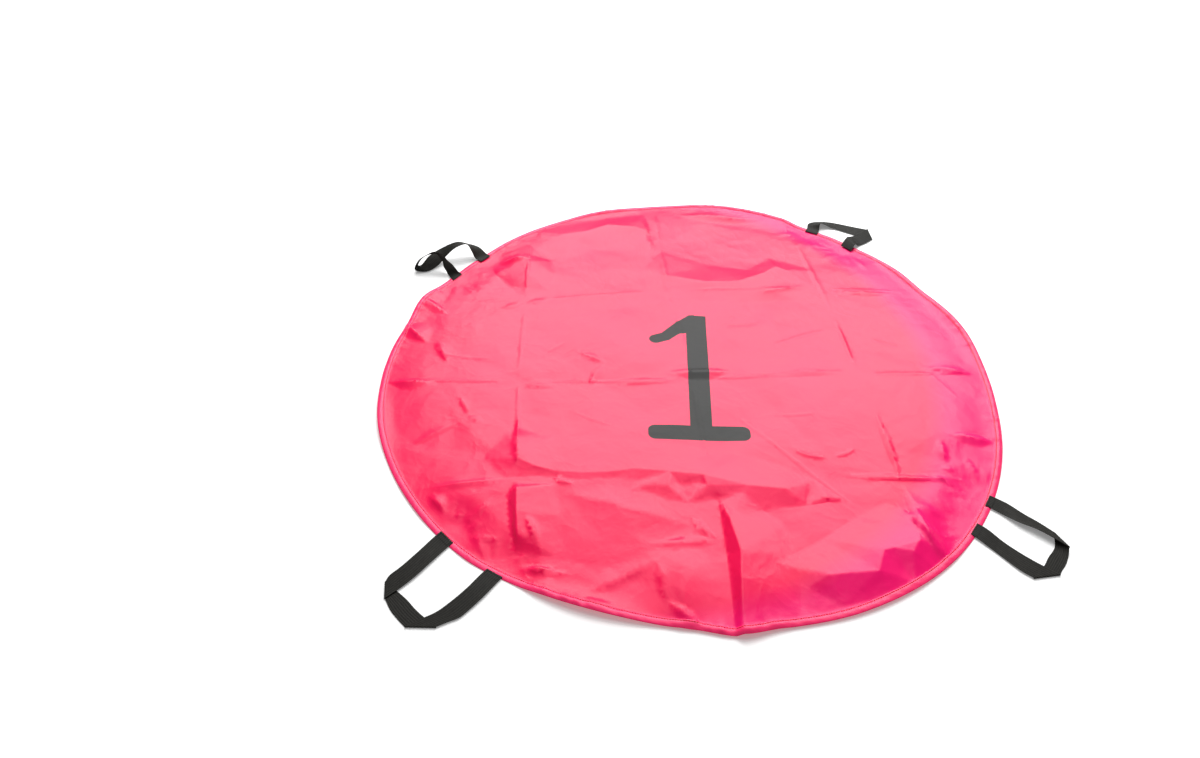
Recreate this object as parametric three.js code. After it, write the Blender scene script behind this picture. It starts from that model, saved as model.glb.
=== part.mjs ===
// A play parachute for a small team: one round sheet of thin taffeta with a folded
// hem, and four webbing hand loops sewn on the hem. It lies spread out on a floor,
// with the creases of its packing and the loops as they fell.
// Units are millimetres and +Z is up. The origin is on the floor under the middle
// of the disc, and +Y runs along the packing creases, away from the viewer.

import * as THREE from 'three';

const DEGREE = Math.PI / 180;

// Driving sizes.
const RADIUS = 750;
const CLOTH_THICK = 1.5;
const HEM_WIDE = 15;
const HEM_THICK = 2.6;
const STRAP_THICK = 1.6;
const SEWN_GAP = 0.3;
const FLOOR_GAP = 0.2;
const LAYER_GAP = 0.7;

// Heights of the middle of a strap: lying on the floor, folded once over itself,
// and sewn on the hem.
const LAYER_RISE = STRAP_THICK + LAYER_GAP;
const LOW = FLOOR_GAP + STRAP_THICK / 2;
const HIGH = LOW + LAYER_RISE;
const SEWN = HEM_THICK + SEWN_GAP + STRAP_THICK / 2;

// Each sewn end holds the cloth flat this far around it.
const SEWN_FLAT = 37;
const SEWN_REACH = 75;

// Mesh sizes.
const RIM_STEP = 2.5;
const FILL_PITCH = 54;
const CREST_PITCH = 23;
const POINT_GAP = 9;
const FOOT_GAP = 13.8;
const FILL_GAP = 30;
const HEM_CHAMFER = 0.8;
const STRAP_STEPS = 4;
const NUDGE = 0.01;

// A crease falls away by this power of the distance from its crest, and rises from
// nothing over this share of its length at each end.
const CREASE_POWER = 1.7;
const CREASE_END = 0.25;

// Colours of the cloth and the webbing.
const PINK = 0xff5f8a;
const BLACK = 0x2b2a28;
const ROUGHNESS = 0.6;

const COS_45 = Math.SQRT1_2;

// A table has one row for each fold, and its header names the columns.
function table(header, rows) {
  const names = header.split(' ');
  return rows.map((row) => Object.fromEntries(names.map((name, i) => [name, row[i]])));
}

// Distance of the lying rim from the middle. The disc was cut round: folds draw
// the rim in, and slack pushes it out.
const RIM = table('at radius', [
  [-180, 750], [-166, 759], [-148, 761], [-132, 760], [-124, 750], [-114, 744],
  [-104, 740], [-96, 743], [-90, 755], [-84, 748], [-72, 756], [-56, 761],
  [-42, 756], [-30, 748], [-16, 740], [-4, 742], [7, 749], [22, 744],
  [34, 755], [48, 756], [66, 757], [80, 758], [90, 751], [104, 740],
  [122, 735], [140, 728], [149, 731], [157, 746], [166, 739], [173, 745],
]);

// Creases and folds, each a crest from (x0, y0) to (x1, y1). It falls to nothing
// over the widths left and right of it, seen along its run, and bow is how far
// its middle swings to the right.
const FOLDS = table('x0 y0 x1 y1 high left right bow', [
  // Packing creases that run away from the viewer, left, middle and right.
  [-404, -610, -412, -392, 15, 22, 75, 0],
  [-415, -345, -415, -175, 7, 12, 45, 0],
  [-350, 235, -374, 455, 12, 42, 90, -8],
  [26, -790, 13, -402, 16, 24, 120, 0],
  [-110, -760, -80, -520, 9, 110, 85, 0],
  [-12, 190, -6, 560, 5, 12, 16, 0],
  [420, 205, 397, 552, 8, 14, 20, 0],
  [408, -185, 410, -395, 5, 14, 18, 0],
  [428, -640, 404, -415, 10, 24, 60, 0],
  // Packing creases that run across, middle, near and far.
  [-752, -36, -620, -48, 8, 34, 20, 0],
  [-418, -70, -318, -80, 6, 26, 13, 0],
  [-205, -80, -12, -76, 6, 26, 13, 0],
  [-6, -66, 112, -72, 7, 28, 14, 0],
  [190, -66, 412, -70, 6, 26, 13, 0],
  [572, -56, 706, -84, 10, 34, 19, 0],
  [-420, -316, 4, -378, 12, 120, 40, 8],
  [-190, -396, 6, -404, 9, 20, 42, 6],
  [0, -402, 268, -456, 13, 100, 58, 0],
  [262, -386, 545, -408, 5, 18, 13, 0],
  [-625, -384, -420, -372, 5, 26, 14, 0],
  [222, 262, 398, 288, 6, 32, 18, -6],
  [428, 272, 622, 250, 6, 26, 14, 8],
  // Folds drawn in from the upper left hand loop.
  [-548, 430, -418, 292, 10, 44, 25, 0],
  [-648, 322, -562, 232, 9, 42, 24, 0],
  [-512, 446, -372, 458, 8, 36, 20, 0],
  [-728, 190, -652, 96, 9, 55, 30, 0],
  [-630, 112, -594, 14, 5, 26, 14, 0],
  // Low waves of the far half.
  [-292, 624, -30, 586, 8, 52, 34, 0],
  [-178, 482, -36, 394, 8, 66, 26, -10],
  [0, 372, 112, 322, 8, 55, 24, 0],
  [112, 318, 266, 344, 7, 36, 18, 10],
  [18, 262, 392, 300, 8, 85, 62, 42],
  [60, 690, 330, 640, 7, 55, 40, 0],
  // Waves of the near half.
  [-318, -428, -50, -502, 9, 78, 86, 10],
  [-548, -440, -458, -566, 7, 44, 24, 0],
  [-392, -440, -352, -532, 6, 26, 18, 0],
  [-142, -640, -80, -722, 6, 30, 16, 0],
  [-598, -396, -556, -452, 6, 26, 16, 0],
  [120, -640, 330, -600, 8, 60, 46, 0],
  // Short gathers behind the hem, right of the upper right hand loop.
  [512, 500, 500, 446, 6, 14, 14, 0],
  [552, 462, 538, 412, 6, 14, 14, 0],
  [600, 402, 566, 366, 6, 16, 14, 0],
  [648, 312, 602, 296, 6, 20, 16, 0],
]);

// Stretches where the rim stands off the floor: the middle and half length as
// angles, the height, and how far inwards the lift reaches.
const RIM_LIFTS = table('at half high inward', [
  [68, 20, 12, 95],
  [9, 17, 9, 40],
  [27, 8, 6, 34],
  [-66, 15, 11, 70],
  [-112, 13, 9, 55],
  [157, 7, 7, 60],
  [104, 12, 6, 45],
  [-166, 10, 5, 40],
]);

// Cross lines of each hand loop, from one sewn end round to the other: the left and
// right edge of the strap, each with the height of the middle of its thickness.
// A loop is a list of runs, and the strap folds over flat where a run ends.
const STRAP_COLUMNS = 'lx ly lz rx ry rz';
const LOOPS = {
  handle_front_right: [
    table(STRAP_COLUMNS, [
      [585, -457, SEWN, 564, -483, SEWN],
      [599, -468, SEWN, 577, -495, SEWN],
      [614, -482, 4, 590, -508, 4],
      [634, -509, 5, 612, -533, 9],
      [656, -533, 5, 642, -558, 13],
      [676, -557, 4, 684, -600, 12],
    ]),
    table(STRAP_COLUMNS, [
      [676, -557, 4 - LAYER_RISE, 684, -600, 12 - LAYER_RISE],
      [661, -592, 1.5, 679, -613, 3],
      [639, -613, LOW, 664, -633, LOW],
      [616, -637, LOW, 650, -646, LOW],
      [586, -660, LOW, 642, -655, LOW],
    ]),
    table(STRAP_COLUMNS, [
      [586, -660, HIGH, 642, -655, HIGH],
      [570, -645, HIGH, 602, -620, HIGH],
      [537, -597, 2.5, 566, -577, 2.5],
      [516, -568, 4, 543, -542, 4],
      [505, -553, SEWN, 529, -527, SEWN],
    ]),
  ],
  handle_front_left: [
    table(STRAP_COLUMNS, [
      [-537, -523, SEWN, -564, -493, SEWN],
      [-549, -535, SEWN, -577, -507, SEWN],
      [-577, -568, 5, -604, -541, 5],
      [-602, -597, 5, -633, -574, 5],
      [-626, -620, 4, -654, -594, 4],
      [-655, -643, HIGH, -659, -605, HIGH],
    ]),
    table(STRAP_COLUMNS, [
      [-655, -643, LOW, -659, -605, LOW],
      [-642, -667, LOW, -615, -645, LOW],
      [-626, -687, LOW, -594, -669, LOW],
      [-611, -703, LOW, -553, -707, LOW],
    ]),
    table(STRAP_COLUMNS, [
      [-611, -703, HIGH, -553, -707, HIGH],
      [-585, -690, HIGH, -534, -699, HIGH],
      [-556, -676, HIGH, -512, -690, HIGH],
      [-531, -656, 4, -497, -677, 4],
      [-503, -629, 5, -470, -649, 5],
      [-480, -601, 4.2, -448, -622, 4.2],
      [-467, -587, SEWN, -436, -608, SEWN],
    ]),
  ],
  handle_back_right: [
    table(STRAP_COLUMNS, [
      [447, 587, SEWN, 479, 566, SEWN],
      [457, 602, 5, 489, 583, 7],
      [463, 619, 8, 493, 597, 17],
      [484, 634, 5, 496, 600, 20],
      [512, 638, 3, 512, 602, 14],
      [540, 633, 3, 530, 598, 6],
      [566, 622, 3, 546, 592, 3],
      [600, 602, 5, 582, 567, 2],
      [635, 575, 11, 640, 532, LOW],
    ]),
    table(STRAP_COLUMNS, [
      [635, 575, 11 + LAYER_RISE, 640, 532, HIGH],
      [609, 558, 13, 616, 514, HIGH],
      [585, 543, 11, 592, 500, HIGH],
      [570, 535, 13, 583, 494, 7],
      [558, 527, 17, 573, 490, 15],
      [546, 515, 12, 565, 481, 11],
      [535, 503, SEWN, 557, 471, SEWN],
    ]),
  ],
  handle_back_left: [
    table(STRAP_COLUMNS, [
      [-536, 465, SEWN, -511, 494, SEWN],
      [-553, 474, 9, -523, 499, 9],
      [-563, 483, 28, -544, 511, 24],
      [-575, 486, 50, -579, 518, 33],
      [-604, 478, 46, -605, 514, 42],
      [-635, 468, 24, -655, 501, 28],
      [-657, 449, 7, -687, 477, 19],
      [-689, 423, 3, -709, 455, 4],
      [-721, 420, 12, -717, 456, 3],
      [-710, 430, 35, -709, 462, 16],
      [-684, 435, 51, -690, 465, 30],
      [-662, 443, 56, -664, 469, 32],
      [-636, 430, 50, -653, 458, 27],
      [-626, 419, 43, -644, 444, 23],
      [-613, 415, 31, -641, 432, 13],
      [-604, 409, 21, -634, 422, 5],
      [-597, 406, 12, -626, 402, SEWN],
      [-587, 405, SEWN, -610, 375, SEWN],
    ]),
  ],
};

function clamp01(value) {
  return Math.min(1, Math.max(0, value));
}

function smooth(value) {
  const t = clamp01(value);
  return t * t * (3 - 2 * t);
}

// Radius of the rim at an angle in degrees, as a smooth closed curve.
function rimRadius(angle) {
  const turn = ((angle + 180) % 360 + 360) % 360 - 180;
  let i = RIM.findIndex((row) => row.at > turn) - 1;
  if (i < 0) i = RIM.length - 1;
  const pick = (k) => RIM[(k + RIM.length) % RIM.length];
  const span = ((pick(i + 1).at - pick(i).at) + 360) % 360;
  const t = (turn - pick(i).at) / span;
  const [a, b, c, d] = [-1, 0, 1, 2].map((k) => pick(i + k).radius);
  const slopeIn = (c - a) / 2;
  const slopeOut = (d - b) / 2;
  const t2 = t * t;
  const t3 = t2 * t;
  return (2 * t3 - 3 * t2 + 1) * b + (t3 - 2 * t2 + t) * slopeIn
    + (3 * t2 - 2 * t3) * c + (t3 - t2) * slopeOut;
}

function foldHeight(fold, x, y) {
  const dx = fold.x1 - fold.x0;
  const dy = fold.y1 - fold.y0;
  const length = Math.hypot(dx, dy);
  const along = ((x - fold.x0) * dx + (y - fold.y0) * dy) / (length * length);
  if (along <= 0 || along >= 1) return 0;
  const across = ((x - fold.x0) * dy - (y - fold.y0) * dx) / length
    - fold.bow * 4 * along * (1 - along);
  const reach = Math.abs(across) / (across > 0 ? fold.right : fold.left);
  if (reach >= 1) return 0;
  const ends = smooth(along / CREASE_END) * smooth((1 - along) / CREASE_END);
  return fold.high * ends * (1 - reach) ** CREASE_POWER;
}

function liftHeight(lift, angle, inside) {
  const off = Math.abs(((angle - lift.at + 180) % 360 + 360) % 360 - 180) / lift.half;
  if (off >= 1 || inside >= lift.inward) return 0;
  return lift.high * (1 - off * off) ** 2 * smooth(1 - inside / lift.inward);
}

const SEWN_ENDS = Object.values(LOOPS).flatMap((runs) => {
  const first = runs[0][0];
  const last = runs.at(-1).at(-1);
  return [first, last].map((row) => [(row.lx + row.rx) / 2, (row.ly + row.ry) / 2]);
});

// Height of the underside above the floor. The sewn ends hold the hem down flat.
function relief(x, y) {
  const angle = Math.atan2(y, x) / DEGREE;
  const inside = Math.max(0, rimRadius(angle) - Math.hypot(x, y));
  let height = 0;
  for (const fold of FOLDS) height += foldHeight(fold, x, y);
  for (const lift of RIM_LIFTS) height += liftHeight(lift, angle, inside);
  for (const [ex, ey] of SEWN_ENDS) {
    const near = Math.hypot(x - ex, y - ey);
    height *= smooth((near - SEWN_FLAT) / (SEWN_REACH - SEWN_FLAT));
  }
  return height;
}

function rimPoint(angle, inset) {
  const r = rimRadius(angle) - inset;
  return [r * Math.cos(angle * DEGREE), r * Math.sin(angle * DEGREE)];
}

// Points of the sheet inside the hem: along each fold's crest and feet first, then
// an even fill where there is room.
function sheetPoints() {
  const points = [];
  const add = (x, y, gap) => {
    const inside = rimRadius(Math.atan2(y, x) / DEGREE) - HEM_WIDE - Math.hypot(x, y);
    if (inside < POINT_GAP) return;
    if (points.some(([px, py]) => Math.hypot(px - x, py - y) < gap)) return;
    points.push([x, y]);
  };
  for (const side of [0, 1, -1, 0.5, -0.5]) {
    for (const fold of FOLDS) {
      const length = Math.hypot(fold.x1 - fold.x0, fold.y1 - fold.y0);
      const dx = (fold.x1 - fold.x0) / length;
      const dy = (fold.y1 - fold.y0) / length;
      const offset = side > 0 ? side * fold.right : side * fold.left;
      const steps = Math.ceil(length / CREST_PITCH);
      for (let i = 0; i <= steps; i++) {
        const along = i / steps;
        const across = offset + fold.bow * 4 * along * (1 - along);
        const x = fold.x0 + dx * along * length + dy * across;
        const y = fold.y0 + dy * along * length - dx * across;
        add(x, y, side === 0 ? POINT_GAP : FOOT_GAP);
      }
    }
  }
  const rows = Math.ceil(RADIUS / (FILL_PITCH * Math.sin(60 * DEGREE)));
  const columns = Math.ceil(RADIUS / FILL_PITCH) + 1;
  for (let row = -rows; row <= rows; row++) {
    for (let column = -columns; column <= columns; column++) {
      const x = (column + (row & 1) / 2) * FILL_PITCH;
      const y = row * FILL_PITCH * Math.sin(60 * DEGREE);
      if (Math.hypot(x, y) > RADIUS) continue;
      add(x, y, FILL_GAP);
    }
  }
  return points;
}

// Delaunay triangles of points in the plane, found by adding one point at a time.
function triangulate(points) {
  const far = 20 * RADIUS;
  const all = [...points, [-far, -far], [far, -far], [0, far]];
  const circle = (a, b, c) => {
    const [ax, ay] = all[a];
    const [bx, by] = [all[b][0] - ax, all[b][1] - ay];
    const [cx, cy] = [all[c][0] - ax, all[c][1] - ay];
    const twice = 2 * (bx * cy - by * cx);
    const ux = (cy * (bx * bx + by * by) - by * (cx * cx + cy * cy)) / twice;
    const uy = (bx * (cx * cx + cy * cy) - cx * (bx * bx + by * by)) / twice;
    return { corners: [a, b, c], x: ax + ux, y: ay + uy, reach: ux * ux + uy * uy };
  };
  const n = points.length;
  let triangles = [circle(n, n + 1, n + 2)];
  for (let p = 0; p < n; p++) {
    const [x, y] = all[p];
    const edges = new Map();
    const kept = [];
    for (const triangle of triangles) {
      if ((triangle.x - x) ** 2 + (triangle.y - y) ** 2 >= triangle.reach) {
        kept.push(triangle);
        continue;
      }
      const [a, b, c] = triangle.corners;
      for (const [from, to] of [[a, b], [b, c], [c, a]]) {
        const back = `${to} ${from}`;
        if (edges.has(back)) edges.delete(back);
        else edges.set(`${from} ${to}`, [from, to]);
      }
    }
    for (const [from, to] of edges.values()) kept.push(circle(from, to, p));
    triangles = kept;
  }
  return triangles.map((triangle) => triangle.corners)
    .filter((corners) => corners.every((corner) => corner < n));
}

function meshFrom(name, positions, faces, color) {
  const geometry = new THREE.BufferGeometry();
  geometry.setAttribute('position', new THREE.Float32BufferAttribute(positions.flat(), 3));
  geometry.setIndex(faces.flat());
  geometry.computeVertexNormals();
  const material = new THREE.MeshStandardMaterial({ color, roughness: ROUGHNESS, metalness: 0 });
  const mesh = new THREE.Mesh(geometry, material);
  mesh.name = name;
  return mesh;
}

// The round sheet with its hem, as one closed solid.
function canopy() {
  const angles = [];
  for (let angle = -180; angle < 180; angle += RIM_STEP) angles.push(angle);
  const rim = angles.length;
  const plan = [...angles.map((angle) => rimPoint(angle, HEM_WIDE)), ...sheetPoints()];
  // A tiny nudge keeps four points of the even fill off one common circle.
  const nudged = plan.map(([x, y], i) => [x + NUDGE * Math.sin(i), y + NUDGE * Math.cos(i)]);
  const inHem = (corner) => corner < rim;
  const sheet = triangulate(nudged).filter((corners) => {
    if (!corners.every(inHem)) return true;
    const x = corners.reduce((sum, corner) => sum + plan[corner][0], 0) / 3;
    const y = corners.reduce((sum, corner) => sum + plan[corner][1], 0) / 3;
    return Math.hypot(x, y) < rimRadius(Math.atan2(y, x) / DEGREE) - HEM_WIDE;
  });

  const count = plan.length;
  const heights = plan.map(([x, y]) => relief(x, y));
  const under = plan.map(([x, y], i) => [x, y, heights[i]]);
  const over = plan.map(([x, y], i) => [x, y, heights[i] + CLOTH_THICK]);
  const ring = (inset, rise) => angles.map((angle) => {
    const [x, y] = rimPoint(angle, inset);
    return [x, y, relief(x, y) + rise];
  });
  const positions = [
    ...under,
    ...over,
    ...ring(HEM_WIDE - HEM_CHAMFER, HEM_THICK),
    ...ring(0, HEM_THICK),
    ...ring(0, 0),
  ];
  const hemInner = 2 * count;
  const hemOuter = hemInner + rim;
  const edge = hemOuter + rim;

  const faces = [];
  for (const [a, b, c] of sheet) {
    faces.push([a, c, b]);
    faces.push([count + a, count + b, count + c]);
  }
  const band = (inner, outer) => {
    for (let i = 0; i < rim; i++) {
      const j = (i + 1) % rim;
      faces.push([inner + i, outer + i, outer + j]);
      faces.push([inner + i, outer + j, inner + j]);
    }
  };
  band(count, hemInner);
  band(hemInner, hemOuter);
  band(hemOuter, edge);
  band(edge, 0);
  return meshFrom('canopy', positions, faces, PINK);
}

// The cross lines of a whole loop: each run as a smooth curve through its rows, and
// between runs the half turn of the flat fold.
function loopStations(runs) {
  const stations = [];
  runs.forEach((run, k) => {
    const left = run.map((row) => new THREE.Vector3(row.lx, row.ly, row.lz));
    const right = run.map((row) => new THREE.Vector3(row.rx, row.ry, row.rz));
    const curves = [left, right].map((edge) => new THREE.CatmullRomCurve3(edge));
    const steps = (run.length - 1) * STRAP_STEPS;
    for (let i = 0; i <= steps; i++) {
      const station = curves.map((curve) => curve.getPoint(i / steps));
      for (const point of station) point.z = Math.max(point.z, LOW);
      stations.push(station);
    }
    if (k === runs.length - 1) return;
    const next = runs[k + 1][0];
    const [endLeft, endRight] = stations.at(-1);
    const before = stations.at(-2);
    const fold = new THREE.Vector3().subVectors(endRight, endLeft).setZ(0).normalize();
    const outward = new THREE.Vector3(fold.y, -fold.x, 0);
    const came = new THREE.Vector3().addVectors(endLeft, endRight).sub(before[0]).sub(before[1]);
    if (came.dot(outward) < 0) outward.negate();
    const turn = (from, toHeight, cos, sin) => {
      const half = (toHeight - from.z) / 2;
      const rise = new THREE.Vector3(0, 0, half * (1 + sin));
      return from.clone().add(rise).addScaledVector(outward, Math.abs(half) * cos);
    };
    for (const [cos, sin] of [[COS_45, -COS_45], [1, 0], [COS_45, COS_45]]) {
      stations.push([turn(endLeft, next.lz, cos, sin), turn(endRight, next.rz, cos, sin)]);
    }
  });
  return stations;
}

// A strap of even thickness along the cross lines of a loop, as one closed solid.
function strap(name, runs) {
  const stations = loopStations(runs);
  const positions = [];
  stations.forEach(([left, right], i) => {
    const before = stations[Math.max(0, i - 1)];
    const after = stations[Math.min(stations.length - 1, i + 1)];
    const across = new THREE.Vector3().subVectors(right, left);
    const normalAt = (side) => {
      const along = new THREE.Vector3().subVectors(after[side], before[side]);
      return new THREE.Vector3().crossVectors(across, along).normalize();
    };
    const normals = [normalAt(0), normalAt(1)];
    [[left, 0, 1], [right, 1, 1], [right, 1, -1], [left, 0, -1]].forEach(([point, side, sign]) => {
      const corner = point.clone().addScaledVector(normals[side], sign * STRAP_THICK / 2);
      positions.push(corner.toArray());
    });
  });
  // The two broad faces are split along the same diagonal, so the strap keeps its
  // thickness where it twists.
  const faces = [];
  for (let i = 0; i + 1 < stations.length; i++) {
    for (let k = 0; k < 4; k++) {
      const [a, b] = [4 * i + k, 4 * i + (k + 1) % 4];
      if (k === 2) faces.push([a, b, a + 4], [b, b + 4, a + 4]);
      else faces.push([a, b + 4, a + 4], [a, b, b + 4]);
    }
  }
  const last = positions.length - 4;
  faces.push([0, 2, 1], [0, 3, 2], [last, last + 1, last + 2], [last, last + 2, last + 3]);
  return meshFrom(name, positions, faces, BLACK);
}

const parachute = new THREE.Group();
parachute.add(canopy());
for (const [name, runs] of Object.entries(LOOPS)) parachute.add(strap(name, runs));

export default parachute;
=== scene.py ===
"""A play parachute for a small team, lying spread out on a floor.

It is one round sheet of thin pink taffeta with a folded hem, a plain numeral printed on it, and four
black webbing hand loops sewn on the hem. The tables are in millimetres and the meshes in metres, with
+Z up and the origin on the floor under the middle of the disc.
"""

import math

import bpy
import numpy as np
from mathutils import Matrix, Vector, geometry, kdtree
from mathutils.bvhtree import BVHTree


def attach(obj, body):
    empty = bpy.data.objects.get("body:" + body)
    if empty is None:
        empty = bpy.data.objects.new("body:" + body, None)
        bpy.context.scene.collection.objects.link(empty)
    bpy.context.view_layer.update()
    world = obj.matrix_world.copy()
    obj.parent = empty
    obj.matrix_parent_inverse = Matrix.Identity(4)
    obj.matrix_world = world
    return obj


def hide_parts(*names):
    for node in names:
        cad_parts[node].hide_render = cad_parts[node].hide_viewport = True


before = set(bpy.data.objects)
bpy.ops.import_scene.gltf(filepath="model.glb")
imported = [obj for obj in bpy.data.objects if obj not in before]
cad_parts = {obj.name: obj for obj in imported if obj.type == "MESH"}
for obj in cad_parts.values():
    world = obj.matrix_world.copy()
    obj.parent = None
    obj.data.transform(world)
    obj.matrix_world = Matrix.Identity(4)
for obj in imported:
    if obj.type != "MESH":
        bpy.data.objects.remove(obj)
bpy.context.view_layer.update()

# The camera. It stands at the near side of the sheet, about as high as a person's chest, and looks
# down at it a little to the right.
MM = 0.001
IMAGE_WIDE = 1200
CAMERA_AT = (-0.3045, -1.483, 1.317)
CAMERA_YAW = math.radians(3.43)
CAMERA_PITCH = math.radians(42.55)
CAMERA_ROLL = math.radians(0.49)
FOCAL_PIXELS = 795
SENSOR_WIDE = 36


def put_in_scene(name, data):
    """An object of a mesh, lamp or camera."""
    made_object = bpy.data.objects.new(name, data)
    bpy.context.scene.collection.objects.link(made_object)
    return made_object


camera_data = bpy.data.cameras.new("camera")
camera_data.sensor_width = SENSOR_WIDE
camera_data.lens = SENSOR_WIDE * FOCAL_PIXELS / IMAGE_WIDE
camera = put_in_scene("camera", camera_data)
camera.matrix_world = (
    Matrix.Translation(CAMERA_AT)
    @ Matrix.Rotation(-CAMERA_YAW, 4, "Z")
    @ Matrix.Rotation(math.pi / 2 - CAMERA_PITCH, 4, "X")
    @ Matrix.Rotation(CAMERA_ROLL, 4, "Z")
)
bpy.context.scene.camera = camera

# The canopy. One disc of woven polyester taffeta, 1.5 m across. Its edge is turned over twice and
# stitched once round. It was packed folded in squares, so straight creases cross it.
RADIUS = 750
SHEET_THICK = 0.5
UNDER_GAP = 0.15


def table(header, rows):
    """One dictionary for each row, with the names in the header."""
    names = header.split()
    return [dict(zip(names, row)) for row in rows]


# How far the lying rim is from the middle, at an angle in degrees.
RIM = table("at radius", [
    (-180, 750), (-166, 759), (-148, 761), (-132, 760), (-124, 750), (-114, 744),
    (-104, 740), (-96, 743), (-90, 755), (-84, 748), (-72, 756), (-56, 761),
    (-42, 756), (-30, 748), (-16, 740), (-4, 742), (7, 749), (22, 744),
    (34, 755), (48, 756), (66, 757), (80, 758), (90, 751), (104, 740),
    (122, 735), (140, 728), (149, 731), (157, 746), (166, 739), (173, 745),
])

# Folds with a crest from (x0, y0) to (x1, y1), which fall to nothing over the widths left and right of
# it, seen along its run. bow is how far the middle swings to the right.
FOLD_COLUMNS = "x0 y0 x1 y1 high left right bow"

# Soft folds and swells. They fall away from the crest in a hollow curve.
SOFT_FOLDS = table(FOLD_COLUMNS, [
    (-415, -345, -415, -175, 7, 12, 45, 0),
    (-110, -760, -80, -520, 9, 110, 85, 0),
    (-418, -70, -318, -80, 2.5, 26, 10, 0),
    (-205, -80, -12, -76, 2.5, 26, 9, 0),
    (190, -66, 412, -70, 2.5, 26, 9, 0),
    (572, -56, 706, -84, 5, 34, 15, 0),
    (-625, -384, -420, -372, 3, 26, 14, 0),
    (222, 262, 398, 288, 3, 32, 18, -6),
    (428, 272, 622, 250, 4, 26, 14, 8),
    (-512, 446, -372, 458, 8, 36, 20, 0),
    (-728, 190, -652, 96, 9, 55, 30, 0),
    (-630, 112, -594, 14, 5, 26, 14, 0),
    (60, 690, 330, 640, 7, 55, 40, 0),
    (-325, -408, -50, -512, 5, 66, 84, 0),
    (-548, -440, -458, -566, 7, 44, 24, 0),
    (-578, -467, -515, -452, 5, 20, 14, 0),
    (-518, -452, -488, -510, 5, 20, 14, 0),
    (-392, -466, -368, -548, 6, 18, 12, 0),
    (-598, -396, -556, -452, 6, 26, 16, 0),
    (536, -296, 520, -370, 6, 12, 16, 0),
])

# Knife folds, where the cloth stands up in a sharp line. Their flanks are flat facets that end in a
# sharp foot and run out to a point.
KNIFE_FOLDS = table(FOLD_COLUMNS, [
    (428, -640, 404, -415, 9, 20, 55, 0),
    (414, -190, 403, -428, 4.5, 10, 12, -5),
    (403, -462, 417, -604, 6, 11, 18, 0),
    (384, -478, 412, -562, 3.5, 7, 8, 0),
    (-740, -42, -616, -52, 6, 9, 26, 0),
    (-62, -47, 112, -50, 7, 12, 28, 0),
    (-530, -167, -556, -102, 2.4, 6, 15, 0),
    (-534, -178, -662, -262, 2.6, 6, 20, 0),
    (-530, -167, -494, -194, 2.4, 6, 14, 0),
    (-278, 53, -198, -6, 3.5, 8, 18, -4),
    (-200, 0, -248, -88, 3.5, 20, 8, 8),
    (-404, 256, -476, 228, 3, 8, 16, 0),
    (-404, 256, -346, 264, 3, 6, 16, 0),
    (262, -390, 548, -412, 3, 6, 14, 0),
    (-338, -371, -294, -392, 3.5, 6, 13, 0),
    (-292, -660, -126, -588, 3.4, 30, 16, 0),
    (-134, -590, -130, -692, 2.6, 16, 12, 0),
    (-154, -552, -4, -545, 4, 12, 18, 0),
    (-466, -576, -304, -610, 6, 9, 17, 0),
    (-128, -678, -62, -738, 5, 10, 16, 0),
    (-306, -660, -210, -690, 3.5, 7, 12, 0),
    (-58, -484, -8, -548, 4, 8, 13, 4),
    (558, -280, 664, -312, 6, 13, 24, 0),
    (508, -379, 538, -386, 3, 5, 8, 0),
    (-692, 302, -604, 212, 6, 11, 26, 0),
    (-12, 200, -8, 540, 2.6, 12, 7, 0),
    (-8, 540, -5, 712, 2.6, 10, 7, 0),
    (-8, 208, 4, -14, 2.4, 10, 7, 0),
    (418, 160, 398, 536, 3.2, 8, 13, 0),
    (414, -66, 418, 160, 2.2, 7, 9, 0),
])

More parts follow.
